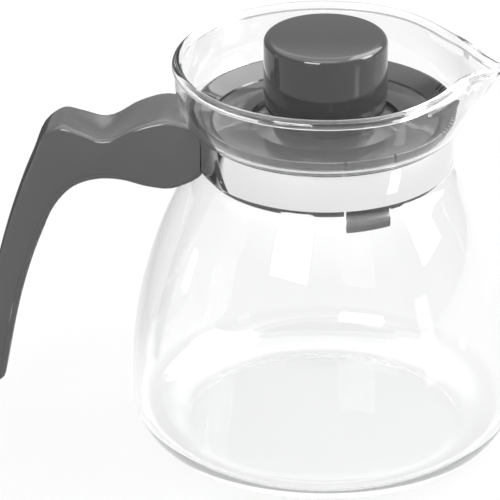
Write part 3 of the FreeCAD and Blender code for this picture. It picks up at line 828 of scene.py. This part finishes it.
def knobSection():
    size = knobSize
    outside = roundCorners([
        (size["spigotR"], size["spigotLow"], 0.2), (size["spigotR"], size["low"], 0),
        (size["narrow"], size["low"], 0.1), (size["rim"], size["face"], 0.45),
        (size["footR"], size["face"], 0.8)], 3)
    side = flowThrough([inSection(size["footR"] + 0.15, size["face"] + 1.1), inSection(*size["waist"]),
                        inSection(size["r"], size["waistTop"])], 6, (0.12, 0, 1), (0, 0, 1))
    shoulderR, shoulderShare = size["shoulder"]
    top = roundCorners([(size["r"], size["straightTop"], 0),
                        (size["r"], size["top"] - size["dome"], size["edge"]),
                        (shoulderR, size["top"] - size["dome"] * shoulderShare, 0)], 8)
    top += [inSection(r, size["top"] - size["dome"] * (r / size["crownWide"]) ** 2) for r in size["crownR"]]
    spigotIn = size["spigotR"] - size["spigotWall"]
    inside = [inSection(*p) for p in size["hollow"] + [size["hollowLow"], (spigotIn, size["hollowLow"][1])]]
    return [inSection(spigotIn, size["spigotLow"])] + outside[:-1] + side + top + inside


lidKnob = turnPiece("lidKnob", knobSection(), knobSize["sides"])
smooth(lidKnob, knobSize["smoothAt"])
paint(lidKnob, lidPlastic)
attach(lidKnob, "inner_lid")
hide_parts("lid_knob")
print("knob made")

# the frame's own pieces stay where nothing finer is modelled, and only take a material
kept = {
    "band_liner": linerPlastic, "handle_cover_screws": metals["screwSteel"],
    "clamp_screw": metals["screwSteel"], "clamp_washer": metals["screwSteel"],
    "clamp_insert": metals["insertBrass"], "screw_plug": handlePlastic,
    "lid_base_plate": lidPlastic, "lid_plate_screws": metals["screwSteel"],
}
for node, material in kept.items():
    paint(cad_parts[node], material)
print("kept nodes painted")

# floor, sky and soft boxes
studio = {
    "floorWide": 6.0, "floorDrop": 0.2, "floorGlow": 0.74, "floorColour": 0.07, "floorFar": 0.06,
    # the mirrored floor falls away past these lines: steepness per metre and offset
    "fallBack": (20.0, 0.4), "fallLeft": (-10.0, 0.8),
    # brightness against height, behind the object and before it
    "behind": [(0.0, 0.5), (0.42, 0.5), (0.5, 0.9), (0.6, 2.0), (0.72, 2.8), (1.0, 2.4)],
    "before": [(0.0, 0.7), (0.35, 0.55), (0.6, 1.5), (0.75, 2.8), (1.0, 2.4)],
    "brightest": 4.0, "dimmest": 0.08, "turn": (2.5, 0.5),
}
bpy.ops.object.select_all(action="DESELECT")
bpy.ops.mesh.primitive_plane_add(size=studio["floorWide"], location=(0, 0, -studio["floorDrop"] * mm))
floor = bpy.context.object
floor.name = "studioFloor"


def floorShader(shade):
    lit = shade.node("ShaderNodeBsdfPrincipled", {}, {
        "Base Color": grey(studio["floorColour"]), "Roughness": 0.9,
        "Emission Color": grey(1.0), "Emission Strength": studio["floorGlow"]})
    # mirrored in the pieces, the floor falls away behind the handle
    dim = shade.node("ShaderNodeEmission", {}, {"Color": grey(studio["floorFar"])})
    x, y = shade.node("ShaderNodeNewGeometry").parts()[:2]
    back = (y * studio["fallBack"][0] - studio["fallBack"][1]).clamped()
    left = (x * studio["fallLeft"][0] - studio["fallLeft"][1]).clamped()
    mirrored = shade.node("ShaderNodeLightPath", out="Is Reflection Ray")
    return shade.node("ShaderNodeMixShader", {}, {0: back * left * mirrored, 1: lit, 2: dim})


paint(floor, newMaterial("studioFloor", floorShader))

world = bpy.data.worlds.new("studio")
world.use_nodes = True
bpy.context.scene.world = world
world.node_tree.nodes.clear()
sky = Shade(world.node_tree)
skyY, skyZ = sky.node("ShaderNodeTexCoord").parts()[1:]
brightest = studio["brightest"]
behind, before = (skyZ.ramp([(z, level / brightest) for z, level in studio[part]])
                  for part in ("behind", "before"))
turned = (skyY * studio["turn"][0] + studio["turn"][1]).clamped()
level = (behind * turned + before * (1.0 - turned)) * brightest
level = level.maths("MAXIMUM", level, studio["dimmest"])
glow = sky.node("ShaderNodeBackground", {}, {"Color": level, "Strength": 1.0})
worldOut = world.node_tree.nodes.new("ShaderNodeOutputWorld")
world.node_tree.links.new(glow.socket, worldOut.inputs[0])

# each soft box: where it stands, its width and height, and its brightness
softBoxes = {
    "boxOverhead": {"place": (0.0, -0.75, 1.52), "size": (0.9, 0.4), "bright": 3.2},
    "boxLow": {"place": (-0.72, 0.08, 0.085), "size": (0.06, 0.12), "bright": 5.0},
    "boxTopRight": {"place": (1.0, 0.32, 1.08), "size": (1.4, 1.3), "bright": 5.0},
    "cardRight": {"place": (0.19, -0.115, 0.055), "size": (0.035, 0.09), "bright": 1.15},
    "windowLeft": {"place": (-0.62, -1.4, 0.93), "size": (0.8, 0.6), "bright": 13.0},
    "windowRight": {"place": (1.5, -0.12, 0.76), "size": (0.62, 0.7), "bright": 9.0},
}
lampAim = (0, 0, 0.1)
for name, box in softBoxes.items():
    light = bpy.data.lights.new(name, "AREA")
    light.shape = "RECTANGLE"
    light.size, light.size_y = box["size"]
    light.energy = box["bright"] * math.pi * light.size * light.size_y
    lamp = bpy.data.objects.new(name, light)
    bpy.context.scene.collection.objects.link(lamp)
    lamp.location = box["place"]
    aim = Vector(lampAim) - Vector(box["place"])
    lamp.rotation_euler = aim.to_track_quat("-Z", "Y").to_euler()
    lamp.visible_camera = False
bpy.context.scene.view_settings.view_transform = "Standard"
print("studio set")
